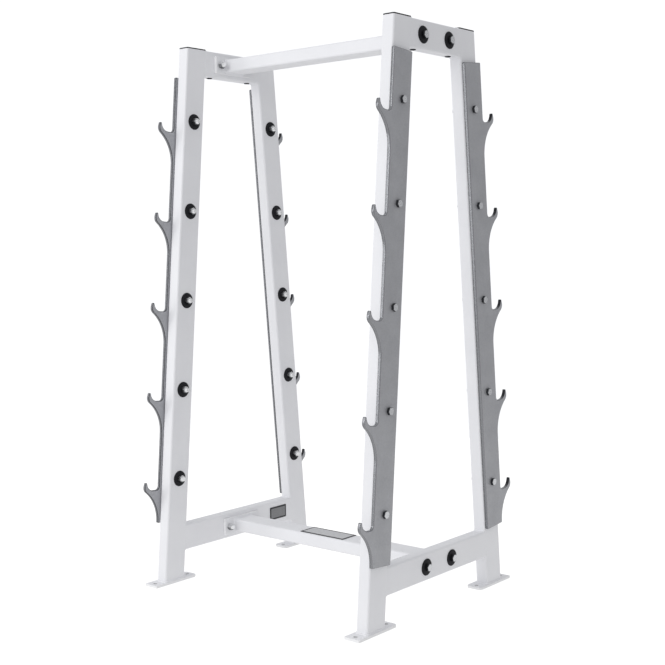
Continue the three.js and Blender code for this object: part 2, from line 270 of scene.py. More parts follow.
# %% Zinc
zinc, shader, where = new_finish("zinc_plate")
grain = noise(where, 1.2 * mm, 4.0)
plated = blend(spread(grain, 0.0, 1.0), (0.62, 0.63, 0.65), (0.80, 0.81, 0.83))
# Painted highlight: a bolt's thread and a nut's upward sides are painted nearly white.
plated = blend(mark(where, "edge"), plated, (0.95, 0.955, 0.965))
# Painted shade: a head's flanks and a nut's downward sides are painted dark.
plated = blend(mark(where, "painted_shade"), plated, (0.075, 0.078, 0.085))
gloss = spread(noise(where, 2.5 * mm, 3.0), 0.20, 0.38)
coloured(shader, plated, gloss)
shader.inputs["Metallic"].default_value = 1.0
emboss(grain, 0.02 * mm, shader)

# %% Black plastic
black_plastic, shader, where = new_finish("black_plastic")
drift = clouds(where, 8 * mm, 3.0)
moulded = blend(drift, (0.009, 0.0095, 0.012), (0.014, 0.0145, 0.018))
dust = spread(noise(where, 0.9 * mm, 1.0), 0.0, 0.3, 0.72, 0.80)
moulded = blend(dust, moulded, (0.13, 0.13, 0.14))
gloss = spread(noise(where, 3 * mm, 2.0), 0.50, 0.65)
coloured(shader, moulded, gloss)
shader.inputs["Specular IOR Level"].default_value = 0.2
emboss(noise(where, 0.35 * mm, 2.0), 0.03 * mm, shader)


# %% Border of a sign
def bordered(where, centre, sizes, axes, field, border, dark):
    """The field's colour, or a dark one nearer a side than the border's width: there the
    distance from the middle is over half the size less the border, on either axis."""
    split = where.id_data.nodes.new("ShaderNodeSeparateXYZ")
    put(where, split.inputs["Vector"])
    outer = []
    for axis, size in zip(axes, sizes):
        offset = maths("SUBTRACT", split.outputs[axis], float(centre["XYZ".index(axis)]))
        distance = maths("ABSOLUTE", offset, 0.0)
        outer.append(maths("GREATER_THAN", distance, size / 2 - border))
    return blend(maths("MAXIMUM", *outer), field, dark)


print("finishes", [finish.name for finish in (white_paint, hook_paint, zinc, black_plastic)])

# %% [markdown]
# ## Outlines
#
# Every section and plate of the rack is a closed outline of straights and arcs. Blender's
# curves could draw them, but then their points can't be offset exactly. As arrays they
# can: to move a side in by some distance, each corner moves along the mean of the
# normals beside it. That one step gives a tube's wall, a rounded edge and a weld.

# %% Arcs, rectangles and insets
def arc(x, y, radius, start, stop, steps):
    """The centre plus the radius times (cos, sin) of evenly spaced angles."""
    angle = np.linspace(start, stop, steps + 1)
    return np.column_stack([x + radius * np.cos(angle), y + radius * np.sin(angle)])


same_point = 1e-4 * mm


def closed(*runs):
    """One closed outline from runs of points, less the points that repeat."""
    outline = np.vstack(runs)
    step = np.linalg.norm(outline - np.roll(outline, 1, axis=0), axis=1)
    return outline[step > same_point]


def rounded_rectangle(width, height, low_radius, high_radius, steps=8):
    """A quarter circle in each corner, anticlockwise, about (0, 0)."""
    x, y, turn = width / 2, height / 2, np.pi / 2
    return closed(
        arc(low_radius - x, low_radius - y, low_radius, 2 * turn, 3 * turn, steps),
        arc(x - low_radius, low_radius - y, low_radius, 3 * turn, 4 * turn, steps),
        arc(x - high_radius, y - high_radius, high_radius, 0, turn, steps),
        arc(high_radius - x, y - high_radius, high_radius, turn, 2 * turn, steps),
    )


def outward(outline):
    """At each point the sum of the two sides' normals, over 1 plus their product, so that
    a step of length d along it moves both sides out by d."""
    side = np.roll(outline, -1, axis=0) - outline
    side /= np.linalg.norm(side, axis=1, keepdims=True)
    normal = np.column_stack([side[:, 1], -side[:, 0]])
    before = np.roll(normal, 1, axis=0)
    return (normal + before) / (1 + np.sum(normal * before, axis=1, keepdims=True))


def inset(outline, distances):
    """One row of points for each distance, moved in from the outline by it."""
    return outline - outward(outline) * np.reshape(distances, (-1, 1, 1))


tube_section = rounded_rectangle(tube_narrow, tube_wide, tube_corner, tube_corner)
print("a tube's section has", len(tube_section), "points")

# %% [markdown]
# ## From a grid of points to a piece
#
# Each surface below is a grid: its rows run one way over the shape and its columns run
# round it. Four neighbours make a face. A piece joins one or more grids, welds the points
# that meet and turns its faces outwards. Smooth shading with sharp edges past 28 degrees
# keeps hexagons crisp, and weighted normals keep the flats flat beside their round edges.

# %% Grids and pieces
def grid_part(points, close_rows=False, edge=0.0, painted_shade=0.0):
    """Faces (i, j), (i, j+1), (i+1, j+1), (i+1, j) of a grid whose columns run round."""
    rows, columns = points.shape[:2]
    here = np.arange(rows if close_rows else rows - 1)[:, None] * columns
    there = (here + columns) % (rows * columns)
    j = np.arange(columns)[None, :]
    k = (j + 1) % columns
    faces = np.stack([here + j, here + k, there + k, there + j], axis=-1).reshape(-1, 4)
    marks = [np.broadcast_to(value, (rows, columns)).ravel() for value in (edge, painted_shade)]
    return {"points": points.reshape(-1, 3), "round": faces.tolist(), "flat": [], "marks": marks}


def capped(part, columns):
    """Closes a grid's first row and its last with a flat face each."""
    count = len(part["points"])
    part["flat"] += [list(range(columns)), list(range(count - columns, count))]
    return part


def joined(parts):
    """One part from several, each one's point numbers moved on past the last one's."""
    starts = np.cumsum([0] + [len(part["points"]) for part in parts])[:-1]
    whole = {"points": np.vstack([part["points"] for part in parts])}
    for kind in ("round", "flat"):
        whole[kind] = [
            [number + int(start) for number in face]
            for part, start in zip(parts, starts) for face in part[kind]]
    whole["marks"] = [np.concatenate(marks) for marks in zip(*(part["marks"] for part in parts))]
    return whole


weld_distance, sharp_angle = 0.001 * mm, np.radians(28)


def make_piece(name, parts, finish, nodes):
    """Puts the parts in one mesh, welds what meets, turns the faces outwards, gives the piece its
    finish and its body, and hides the nodes that it stands for."""
    whole = joined(parts)
    mesh = bpy.data.meshes.new(name)
    mesh.from_pydata(whole["points"], [], whole["round"] + whole["flat"])
    smooth = np.arange(len(mesh.polygons)) < len(whole["round"])
    mesh.polygons.foreach_set("use_smooth", smooth)
    for label, values in zip(("edge", "painted_shade"), whole["marks"]):
        stored = mesh.attributes.new(label, "FLOAT", "POINT").data
        stored.foreach_set("value", values.astype(np.float32))
    body = bmesh.new()
    body.from_mesh(mesh)
    bmesh.ops.remove_doubles(body, verts=body.verts, dist=weld_distance)
    bmesh.ops.recalc_face_normals(body, faces=body.faces)
    gaps = sum(not edge.is_manifold for edge in body.edges)
    body.to_mesh(mesh)
    body.free()
    mesh.set_sharp_from_angle(angle=sharp_angle)
    mesh.materials.append(finish)
    piece = bpy.data.objects.new(name, mesh)
    bpy.context.scene.collection.objects.link(piece)
    piece.modifiers.new("flats stay flat", "WEIGHTED_NORMAL").keep_sharp = True
    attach(piece, "root")
    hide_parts(*nodes)
    if gaps:
        print("open edges", name, gaps)
    return piece


# %% [markdown]
# ## Tubes
#
# A length of tube is a wall that runs round a rounded rectangle. Sliced along its length,
# that wall is itself a long thin rectangle with eased corners, where the saw cut was
# dressed. So a tube is one outline carried round another: the columns go round the section
# and the rows go out along the outside, over the cut, back along the bore and over the
# other cut. It could also be a curve with a bevel and a Solidify, but then the cut ends
# would be square to the tube, and here they follow the lean.

# %% A tube's wall
def tube_wall_grid(section, easing=0.6 * mm):
    """Across the section: each point moved in by the row's depth in the wall. Along it: the row's
    end, 1 or -1, and how far back from that end it lies. Rows on the eased cut are marked, and the
    white paint gives them a painted highlight."""
    rows_a_corner = 5
    turn = np.linspace(0, np.pi / 2, rows_a_corner)
    sine, cosine = easing * np.sin(turn), easing * np.cos(turn)
    depth = np.concatenate([
        easing - cosine, tube_wall - easing + sine, tube_wall - easing + cosine, easing - sine])
    back = np.concatenate([easing - sine, easing - cosine, easing - sine, easing - cosine])
    end = np.repeat([1.0, -1.0], 2 * rows_a_corner)
    on_eased_edge = (back < easing * 0.9) * 1.0
    across = inset(section, depth)
    by_row = [np.broadcast_to(row[:, None], across.shape[:2]) for row in (end, back, on_eased_edge)]
    return across[..., 0], across[..., 1], *by_row


# %% [markdown]
# ## Weld beads
#
# Where tubes meet, a weld runs round the joint under the paint. On faces that lie flush
# it was ground nearly level, and in an inner corner it stands as a small fillet. A bead
# is an ellipse carried round the joint. Its centre lies on the joint for a fillet, and
# sinks under the surface where it was ground. The ellipse swells and shrinks a little along
# the way, which are the ripples that the welder's hand leaves.

# %% A weld bead
ripple_length, ripple_swell = 3 * mm, 0.05
steps_a_ripple, steps_round = 6, 24
fillet_leg = 3.5 * mm


def bead_grid(section, shape):
    """Shape takes how far a side looks up or down and gives three sizes: how far the bead
    stands proud, half its width along the tube, and how deep its centre lies. The part
    above the surface swells by 1 + swell cos(2 pi distance / ripple)."""
    ring = np.vstack([section, section[:1]])
    distance = np.concatenate([[0], np.cumsum(np.linalg.norm(np.diff(ring, axis=0), axis=1))])
    ripples = int(round(distance[-1] / ripple_length))
    along = np.linspace(0, distance[-1], steps_a_ripple * ripples, endpoint=False)
    a, b = (np.interp(along, distance, ring[:, k]) for k in (0, 1))
    out = np.vstack([outward(section), outward(section)[:1]])
    out_a, out_b = (np.interp(along, distance, out[:, k]) for k in (0, 1))
    proud, half_width, sunk = shape(np.abs(out_b))
    proud = proud * (1 + ripple_swell * np.cos(2 * np.pi * along * ripples / distance[-1]))
    turn = np.linspace(0, 2 * np.pi, steps_round, endpoint=False)[:, None]
    reach = (proud + sunk) * np.cos(turn) - sunk
    width = np.broadcast_to(half_width * np.sin(turn), reach.shape)
    return a + out_a * reach, b + out_b * reach, width


def fillet(_):
    """A quarter round, the same on every side of the tube."""
    return fillet_leg, fillet_leg, 0.0


# %% [markdown]
# ## Uprights
#
# The four uprights stand on their foot plates and lean in. Both cuts are level, so the
# section that a level plane cuts is a little wider than the tube, by one over the cosine
# of the lean. Each grid point's height comes from its row, and the lean shifts it in.

# %% Uprights with their welds to the feet
upright_section = rounded_rectangle(tube_narrow, level_width, tube_corner, tube_corner)


def upright_parts(side, end):
    """Height from the row's end, then x = frame + across, y = end * (centre at that
    height + across)."""
    a, b, cut, back, on_eased_edge = tube_wall_grid(upright_section)
    height = np.where(cut > 0, frame_height - back, foot_thick + fit_gap + back)
    wall = np.stack([side * frame_centre + a, end * (upright_centre(height) + b), height], axis=-1)
    a, b, rise = bead_grid(upright_section, fillet)
    y = end * (upright_centre(foot_thick) + b)
    bead = np.stack([side * frame_centre + a, y, foot_thick + rise], axis=-1)
    return [grid_part(wall, True, on_eased_edge), grid_part(bead, True)]


for corner, side, end in corners:
    node = f"upright_{corner}"
    make_piece(f"{node}_tube", upright_parts(side, end), white_paint, [node])
print("upright section", len(upright_section), "points, level width",
      round(float(level_width / mm), 2), "mm")

# %% [markdown]
# ## Cross tubes
#
# A cross tube joins two uprights at the top and another near the floor. Its ends are cut
# to the lean, so each point's length depends on its height: longer at the bottom of the
# section than at the top. The weld on its outer faces is ground flush.

# %% Cross tubes with their welds to the uprights
# The bead's three sizes where it was ground flush, and above and below the tube.
flush_bead, corner_bead = np.array([[0.04, 4.3, 1.0], [2.0, 2.4, 0.4]])[..., None] * mm


def ground_flush(up):
    """From the flush sizes to the corner sizes with the square of the direction."""
    return flush_bead + (corner_bead - flush_bead) * up**2


def cross_tube_parts(side, level):
    """y = end * (the uprights' inner edge at that height - gap - back)."""
    a, b, cut, back, on_eased_edge = tube_wall_grid(tube_section)
    height = cross_heights[level] + b
    y = cut * (upright_inside(height) - fit_gap - back)
    parts = [grid_part(np.stack([side * frame_centre + a, y, height], axis=-1), True, on_eased_edge)]
    a, b, along = bead_grid(tube_section, ground_flush)
    height = cross_heights[level] + b
    for end in ends.values():
        y = end * (upright_inside(height) - fit_gap / 2) + along
        parts.append(grid_part(np.stack([side * frame_centre + a, y, height], axis=-1), True))
    return parts


for side_name, side in sides.items():
    for level in cross_heights:
        node = f"cross_tube_{side_name}_{level}"
        parts = cross_tube_parts(side, level)
        make_piece(f"{node}_tube", parts, white_paint, [node])
        low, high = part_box(node)
        print(node, "is", round((high.y - low.y) / mm, 1), "mm long")

# %% [markdown]
# ## Crossbars
#
# Two more lengths of the same tube lie flat between the end frames. Their ends are square
# and welded all round to a thick flange, with a fillet that shows in the corner.

# %% Crossbars with their welds to the flanges
flange_thick = 9.5 * mm
flange_inner = frame_centre - tube_narrow / 2 - fit_gap - flange_thick
bar_section = rounded_rectangle(tube_wide, tube_narrow, tube_corner, tube_corner)


def crossbar_parts(level):
    """x = end * (half length - back), with the section's wide side along y."""
    a, b, cut, back, on_eased_edge = tube_wall_grid(bar_section)
    x = cut * (flange_inner - fit_gap - back)
    parts = [grid_part(np.stack([x, a, cross_heights[level] + b], axis=-1), True, on_eased_edge)]
    a, b, along = bead_grid(bar_section, fillet)
    for side in sides.values():
        x = side * flange_inner + along
        parts.append(grid_part(np.stack([x, a, cross_heights[level] + b], axis=-1), True))
    return parts


for level in cross_heights:
    node = f"crossbar_{level}"
    make_piece(f"{node}_tube", crossbar_parts(level), white_paint, [node])
print("crossbar length", round(float(2 * (flange_inner - fit_gap) / mm), 1), "mm")

# %% [markdown]
# ## End caps
#
# A black cap closes the top of each upright: a lid with a soft edge, and a hollow plug
# that grips the bore. Read from the middle of the lid outwards, over the edge, down the
# plug and back up inside it, the cap is one stack of the same outline, each row with its
# own inset and height. The plug follows the lean of the tube that it is pushed into.

# %% End caps
cap_lid, cap_depth, cap_wall, cap_edge = 3 * mm, 18 * mm, 2.5 * mm, 1.2 * mm
cap_ease, tip_ease = 0.3 * mm, 0.5 * mm
skirt = tube_wall + fit_gap
turn = np.linspace(0, np.pi / 2, 6)
cap_insets = [
    *(cap_edge * (1 - np.sin(turn))), 0, cap_ease,
    skirt, skirt, skirt + tip_ease, skirt + cap_wall, skirt + cap_wall]
cap_heights = np.array([
    *(cap_lid - cap_edge * (1 - np.cos(turn))), cap_ease, 0,
    0, tip_ease - cap_depth, -cap_depth, -cap_depth, 0])


def cap_part(side, end):
    """y = end * (centre of the upright at the row's height + across), level over the top."""
    across = inset(upright_section, cap_insets)
    rise = np.broadcast_to(cap_heights[:, None], across.shape[:2])
    x = side * frame_centre + across[..., 0]
    y = end * (upright_centre(frame_height + np.minimum(rise, 0)) + across[..., 1])
    points = np.stack([x, y, frame_height + fit_gap + rise], axis=-1)
    return capped(grid_part(points), len(upright_section))


for corner, side, end in corners:
    node = f"end_cap_{corner}"
    make_piece(f"{node}_moulding", [cap_part(side, end)], black_plastic, [node])
print("cap rows", len(cap_insets))

# %% [markdown]
# ## Plates with holes
#
# Foot plates, hook plates, flanges and signs are all cut from flat sheet. A plate's rim is
# a grid: its outline repeated from one face to the other, drawn in near both faces so that
# the edge is eased. Each hole has such a rim too, its outline run the other way round.
# The two faces between the rims are filled with triangles, which stay flat shaded.

# %% A cut plate
def circle(x, y, radius, count=32):
    """A hole's outline, clockwise, so that outwards from the plate is into the hole."""
    return arc(x, y, radius, 0, -2 * np.pi, count)[:-1]


def plate_part(outline, holes, thick, easing, place, shade=0.0, hole_shade=0.0):
    """Rows of a rim: inset = easing (1 - sin), depth = easing (1 - cos), and the same back
    from the far face. place(a, b, depth) puts a plate's own coordinates into the rack.
    Shade says how dark the rim is, for each point of the outline or each row and point,
    and the holes have a shade of their own."""
    turn = np.linspace(0, np.pi / 2, 7)
    insets = easing * (1 - np.sin(turn))
    depths = easing * (1 - np.cos(turn))
    insets = np.concatenate([insets, insets[::-1]])
    depths = np.concatenate([depths, thick - depths[::-1]])
    on_eased_edge = (insets < easing * 0.99)[:, None] * 1.0
    dark = [on_eased_edge * shade] + [on_eased_edge * hole_shade] * len(holes)
    rims, loops = [], []
    for loop, painted_shade in zip([outline, *holes], dark):
        rows = inset(loop, insets)
        depth = np.broadcast_to(depths[:, None], rows.shape[:2])
        rims.append(grid_part(place(rows[..., 0], rows[..., 1], depth), edge=on_eased_edge, painted_shade=painted_shade))
        loops.append(rows[0])
    whole = joined(rims)
    triangles = np.array(tessellate_polygon([[Vector((*p, 0)) for p in loop] for loop in loops]))
    starts = np.cumsum([0] + [len(rim["points"]) for rim in rims])[:-1]
    near = np.concatenate([start + np.arange(len(loop)) for start, loop in zip(starts, loops)])
    row_length = np.concatenate([np.full(len(loop), len(loop)) for loop in loops])
    far = near + (len(insets) - 1) * row_length
    whole["flat"] = near[triangles].tolist() + far[triangles[:, ::-1]].tolist()
    return whole


# %% Foot plates
foot_width, foot_length, foot_inset = 50.8 * mm, 162 * mm, 2.5 * mm
foot_inner_corner, foot_outer_corner, foot_easing = 12 * mm, 4 * mm, 0.8 * mm
# The walls of the anchor holes take a painted shade of this strength.
anchor_radius, anchor_edge, anchor_shade = 5.5 * mm, 17 * mm, 0.4
foot_outline = rounded_rectangle(foot_width, foot_length, foot_inner_corner, foot_outer_corner)
anchors = [circle(0, y * (foot_length / 2 - anchor_edge), anchor_radius) for y in (-1, 1)]


def foot_part(side, end):
    """The outline's y runs outwards, so its square corners point away from the rack."""

    def place(a, b, depth):
        y = end * (upright_centre(0) - foot_inset + b)
        return np.stack([side * frame_centre + a, y, depth], axis=-1)

    return plate_part(
        foot_outline, anchors, foot_thick, foot_easing, place, hole_shade=anchor_shade)


for corner, side, end in corners:
    node = f"foot_plate_{corner}"
    make_piece(f"{node}_sheet", [foot_part(side, end)], white_paint, [node])
print("foot plate", round(foot_width / mm, 1), "x", round(foot_length / mm, 1), "mm")

# %% Flanges
flange_tall, flange_length, flange_bolt = 50.8 * mm, 156 * mm, 60 * mm
flange_corner, flange_easing = 3 * mm, 0.6 * mm
bolt_radius, bolt_clearance = 6.35 * mm, 0.4 * mm
flange_outline = rounded_rectangle(flange_length, flange_tall, flange_corner, flange_corner)
flange_holes = [circle(y * flange_bolt, 0, bolt_radius + bolt_clearance) for y in (-1, 1)]


def flange_part(side, height):
    """The outline's x runs along y, and the thickness out towards the cross tube."""

    def place(a, b, depth):
        return np.stack([side * (flange_inner + depth), a, height + b], axis=-1)

    return plate_part(flange_outline, flange_holes, flange_thick, flange_easing, place)


for side_name, side in sides.items():
    for level, height in cross_heights.items():
        node = f"flange_{side_name}_{level}"
        part = flange_part(side, height)
        make_piece(f"{node}_sheet", [part], white_paint, [node])
print("flange", round(flange_length / mm, 1), "x", round(flange_tall / mm, 1), "mm")

# %% [markdown]
# ## Hook plates
#
# The hook plate is the piece that makes this rack. One steel plate, 9.5 mm thick, is cut
# along a line that falls and rises five times: a throat that holds the bar, a prong with
# a round tip in front of it, a knuckle, and a long flare back to the plate's edge. It could
# be traced as a curve by hand. Arcs that meet at a tangent are truer, because that is how
# the cutter was driven, and every place where two arcs meet follows from their radii.

# %% The line of one hook
plate_wide, plate_proud, plate_thick = 78.4 * mm, 5.5 * mm, 9.5 * mm
throat_mouth, throat_drop, throat_radius, throat_corner = 47 * mm, 35.2 * mm, 24 * mm, 11 * mm
prong_thick, prong_drop, flare_radius = 6.2 * mm, 14.6 * mm, 108 * mm
knuckle_proud, knuckle_radius, knuckle_drop = 2.3 * mm, 19 * mm, 26 * mm


def touching(x, y, reach):
    """The angle at which a straight leaves one arc to touch the next, whose centre lies
    (x, y) away: that direction less arccos(reach / distance). Reach is the difference of
    the radii, or their sum where the straight crosses between the centres."""
    return np.arctan2(y, x) - np.arccos(reach / np.hypot(x, y))


def hook_line():
    """Arcs about five centres, from the flare below up to the throat. The first number is
    ahead of the upright's face and the second is up from the bolt. Flare and knuckle touch
    where their centres are their radii apart. A straight runs from the throat to the tip
    and another from the tip to the knuckle, each touching both arcs."""
    reach = plate_proud + throat_mouth + prong_thick
    tip_radius = prong_thick / 2
    knuckle_x, flare_x = reach + knuckle_proud - knuckle_radius, plate_proud + flare_radius
    rise = np.sqrt((flare_radius + knuckle_radius) ** 2 - (flare_x - knuckle_x) ** 2)
    turn = np.arctan2(rise, flare_x - knuckle_x)
    throat_x, throat_y = plate_proud + throat_mouth - throat_radius, throat_radius - throat_drop
    tip_x = reach - tip_radius
    inside = touching(tip_x - throat_x, -prong_drop - throat_y, throat_radius + tip_radius)
    outside = touching(tip_x - knuckle_x, knuckle_drop - prong_drop, knuckle_radius - tip_radius)
    return np.vstack([
        arc(flare_x, -knuckle_drop - rise, flare_radius, np.pi, np.pi - turn, 28),
        arc(knuckle_x, -knuckle_drop, knuckle_radius, -turn, outside, 16),
        arc(tip_x, -prong_drop, tip_radius, outside, np.pi + inside, 18),
        arc(throat_x, throat_y, throat_radius, inside, -np.pi / 2, 24),
        arc(plate_proud + throat_corner, throat_corner - throat_drop, throat_corner,
            -np.pi / 2, -np.pi, 12),
    ])


hook = hook_line()
print("one hook's line has", len(hook), "points and reaches",
      round(float(hook[:, 0].max() / mm), 1), "mm")

# %% The whole hook plate
hook_count, first_bolt, last_bolt = 5, 309 * mm, 214.4 * mm
plate_above, plate_below, plate_corner = 128 * mm, 3.2 * mm, 3 * mm
hook_rise = (frame_height - first_bolt - last_bolt) / (hook_count - 1)
hook_pitch = hook_rise / np.cos(lean)
bolt_heights = first_bolt + hook_rise * np.arange(hook_count)

rises = hook_pitch * np.arange(hook_count)
bottom, top = hook[0, 1] - plate_below, rises[-1] + plate_above
back, r, quarter = plate_proud - plate_wide, plate_corner, np.pi / 2
plate_outline = closed(
    arc(back + r, bottom + r, r, 2 * quarter, 3 * quarter, 6),
    arc(plate_proud - r, bottom + r, r, 3 * quarter, 4 * quarter, 6),
    *[hook + [0, rise] for rise in rises],
    arc(plate_proud - r, top - r, r, 0, quarter, 6),
    arc(back + r, top - r, r, quarter, 2 * quarter, 6),
)
plate_holes = [circle(-tube_wide / 2, rise, bolt_radius + bolt_clearance) for rise in rises]

# %% Where the plate's rim is painted in shade
# Painted shade: the throat's wall darkens towards the prong, from half the mouth on, over a
# further 0.35 of it. Of the rim's 14 rows, the six by the inner face, in the crevice against the
# upright, are painted in shade and the outer seven are not.
edge_slack, drop_slack, bolt_bias = 0.2 * mm, 0.1 * mm, 0.05
shade_start, shade_over, tip_share = 0.5, 0.35, 0.6
row_shades, row_counts = [0.7, 0.3, 0.0], [6, 1, 7]

ahead_of_edge, along_plate = plate_outline[:, 0] - plate_proud, plate_outline[:, 1]
nearest = np.clip(np.round(along_plate / hook_pitch + bolt_bias), 0, hook_count - 1)
over_bolt = along_plate - nearest * hook_pitch
in_throat = (ahead_of_edge > edge_slack) & (ahead_of_edge < throat_mouth + tip_share * prong_thick)
in_throat &= (over_bolt > -throat_drop - drop_slack) & (over_bolt < 0)
across_mouth = (ahead_of_edge / throat_mouth - shade_start) / shade_over
throat_shade = in_throat * np.clip(across_mouth, 0, 1)
rim_shade = np.maximum(np.repeat(row_shades, row_counts)[:, None], throat_shade)

# %% Hook plates on the uprights
plate_easing = 2.2 * mm


def hook_plate_part(side, end):
    """The plate's own two directions turned by the lean: ahead goes to (cos, sin) and
    along to (-sin, cos) of it, from the lowest bolt."""

    def place(a, b, depth):
        out = a + tube_wide / 2
        x = frame_centre + tube_narrow / 2 + fit_gap + depth
        y = upright_centre(first_bolt) + out * np.cos(lean) - b * np.sin(lean)
        z = first_bolt + out * np.sin(lean) + b * np.cos(lean)
        return np.stack([side * x, end * y, z], axis=-1)

    return plate_part(plate_outline, plate_holes, plate_thick, plate_easing, place, rim_shade)


for corner, side, end in corners:
    node = f"hook_plate_{corner}"
    part = hook_plate_part(side, end)
    piece = make_piece(f"{node}_sheet", [part], hook_paint, [node])
print("hook plate", round(float((top - bottom) / mm), 1), "mm long,",
      len(piece.data.vertices), "points")

# %% [markdown]
# ## Bolts, nuts and discs
#
# Each of the 28 joints is a half-inch hex bolt, a nut and a black domed disc. All three
# are turned shapes, a radius for each row and angle. For a hexagon that radius is half the
# width across the flats over the cosine of the angle from the nearest flat's middle. The
# chamfer on a head is a cone, so the line where it meets a flank dips towards each corner:
# its height falls with the hexagon's radius. The thread is a ridge that climbs one pitch
# in a turn. A screw modifier could make it, but a formula keeps it closed at both ends.

# %% Turned shapes
columns = 48
theta = np.linspace(0, 2 * np.pi, columns, endpoint=False)
hex_flat = 9.5 * mm
hex_radius = hex_flat / np.cos((theta + np.pi / 6) % (np.pi / 3) - np.pi / 6)
chamfer_circle = 0.94 * hex_flat
chamfer_drop = (hex_radius - chamfer_circle) * np.tan(np.radians(30))
plate_head, crossbar_head, nut_height, bolt_tail = 8 * mm, 9.5 * mm, 11 * mm, 7 * mm


def turned(radii, heights, spin=0.0):
    """(height, radius cos, radius sin): a shape turned about x, spun by an angle."""
    radius = np.stack([np.broadcast_to(value, columns) for value in radii])
    height = np.stack([np.broadcast_to(value, columns) for value in heights])
    angle = theta + spin
    return np.stack([height, radius * np.cos(angle), radius * np.sin(angle)], axis=-1)


def set_at(points, x, y, z, facing):
    """Turned half round about z where it faces -x, then moved. It isn't mirrored, so a
    thread stays right-handed."""
    return points * [facing, facing, 1] + [x, y, z]


def bolt_part(length, head, x, y, z, facing, spin):
    """Rows from the middle of the head over its chamfer, down the flanks, which get a painted
    shade, in to the shank and along the thread, which gets a painted highlight, to the middle of
    the pointed tail."""
    washer, point = 0.4 * mm, 1.4 * mm
    threaded, pitch, tooth = 9.5 * mm, 1.954 * mm, 1.1 * mm
    along = np.linspace(length - threaded, length, 40)[:, None]
    climb = np.abs(2 * ((along / pitch - theta / (2 * np.pi)) % 1) - 1)
    thread = bolt_radius - tooth * climb * np.clip((along - length + threaded) / pitch, 0, 1)
    thread = np.minimum(thread, bolt_radius - point + (length - along))
    radii = [0, chamfer_circle, hex_radius, hex_radius, chamfer_circle, chamfer_circle,
             bolt_radius, bolt_radius, *thread[1:], 0]
    heights = [head, head, head - chamfer_drop, washer, washer, 0,
               0, threaded - length, *(-along[1:]), -length]
    # A painted shade on the head's flanks and a painted highlight along the thread.
    dark, painted_highlight = np.zeros((2, len(radii), 1))
    dark[2:6] = 1
    painted_highlight[8:] = 1
    bolt = set_at(turned(radii, heights, spin), x, y, z, facing)
    return grid_part(bolt, edge=painted_highlight, painted_shade=dark)


def nut_part(x, y, z, facing, spin):
    """Rows round the nut's wall: face, chamfer, side, chamfer, face and back through the bore.
    Sides that look up get a painted highlight and those that look down a painted shade, by half of
    1 plus or minus the sine of the side's angle."""
    bore, ease, tall = bolt_radius + 0.05 * mm, 0.8 * mm, nut_height
    radii = [bore, bore + ease, chamfer_circle, hex_radius,
             hex_radius, chamfer_circle, bore + ease, bore]
    heights = [ease, 0, 0, chamfer_drop, tall - chamfer_drop, tall, tall, tall - ease]
    upward = np.sin(np.round(theta / (np.pi / 3)) * np.pi / 3 + spin)
    on_flank = (np.arange(len(radii)) % 6 > 1)[:, None] * 0.5
    wall = set_at(turned(radii, heights, spin), x, y, z, facing)
    return grid_part(wall, True, on_flank * (1 + upward), on_flank * (1 - upward))


# %% The domed disc
disc_radius, disc_thick, disc_crown = 23 * mm, 2.6 * mm, 14 * mm


def disc_part(x, y, z, facing):
    """Flat under, a small round rim, then a dome that falls off with the square of the
    distance past the crown."""
    rim, lip, eye = 0.5 * mm, 0.3 * mm, bolt_radius + bolt_clearance
    turn = np.linspace(-np.pi / 2, np.pi / 2, 7)
    out = np.linspace(1, 0, 9)[:, None]
    rounded = disc_radius - rim + rim * np.cos(turn)
    edge_height = rim + rim * np.sin(turn)
    dome = disc_crown + (disc_radius - rim - disc_crown) * out[1:, 0]
    dome_height = disc_thick - (disc_thick - 2 * rim) * out[1:, 0] ** 2
    radii = [eye, *rounded, *dome, eye + lip, eye]
    heights = [0, *edge_height, *dome_height, disc_thick, disc_thick - lip]
    return grid_part(set_at(turned(radii, heights), x, y, z, facing), close_rows=True)


print("hexagon over the corners", round(float(2 * hex_radius.max() / mm), 2), "mm")

# %% [markdown]
# A bolt is tightened by feel, so no two heads stop at the same angle. Each one is spun by
# an angle of its own from a seeded generator, and the rack looks the same on every run.
# The head of a plate bolt sits on the hook plate, and its disc and nut are on the inner
# face of the upright. On a cross tube it is the other way round: the disc is outside,
# under the head, which is 1.5 mm taller there, and the nut sits on the flange.

# %% Fasteners
spins = np.random.default_rng(7)


def fastener(node, y, z, side, head, head_seat, disc_seat, disc_facing, nut_seat):
    """Seats are distances out from the middle of the end frame, away from the rack's
    middle. The shank runs from the head's seat to the tail's length past the nut."""
    middle = side * frame_centre
    length = head_seat - nut_seat + nut_height + bolt_tail
    one, two = spins.uniform(0, np.pi / 3, 2)
    bolt = bolt_part(length, head, middle + side * head_seat, y, z, side, one)
    nut = nut_part(middle + side * nut_seat, y, z, -side, two)
    disc = disc_part(middle + side * disc_seat, y, z, side * disc_facing)
    make_piece(f"{node}_screw", [bolt], zinc, [node])
    make_piece(f"{node}_nut", [nut], zinc, [node])
    make_piece(f"{node}_disc", [disc], black_plastic, [node])


tube_face = tube_narrow / 2 + fit_gap
for side_name, side in sides.items():
    for end_name, end in ends.items():
        for number, height in enumerate(bolt_heights, 1):
            node = f"plate_bolt_{side_name}_{end_name}_{number}"
            fastener(
                node, end * upright_centre(height), height, side,
                plate_head, tube_face + plate_thick + fit_gap,
                -tube_face, -1, -tube_face - disc_thick)
        for level, height in cross_heights.items():
            node = f"crossbar_bolt_{side_name}_{level}_{end_name}"
            fastener(
                node, end * flange_bolt, height, side,
                crossbar_head, tube_face + disc_thick,
                tube_face, 1, -tube_face - flange_thick - fit_gap)
print("fasteners", 4 * (hook_count + 2), "of 3 pieces each")

# %% [markdown]
# ## Plugs
#
# A small black plug is pushed up into each upper cross tube beside the uprights, where
# the holes that let the paint oven's air out are. It is turned about an upright axis: a
# rounded button below and a stem above.

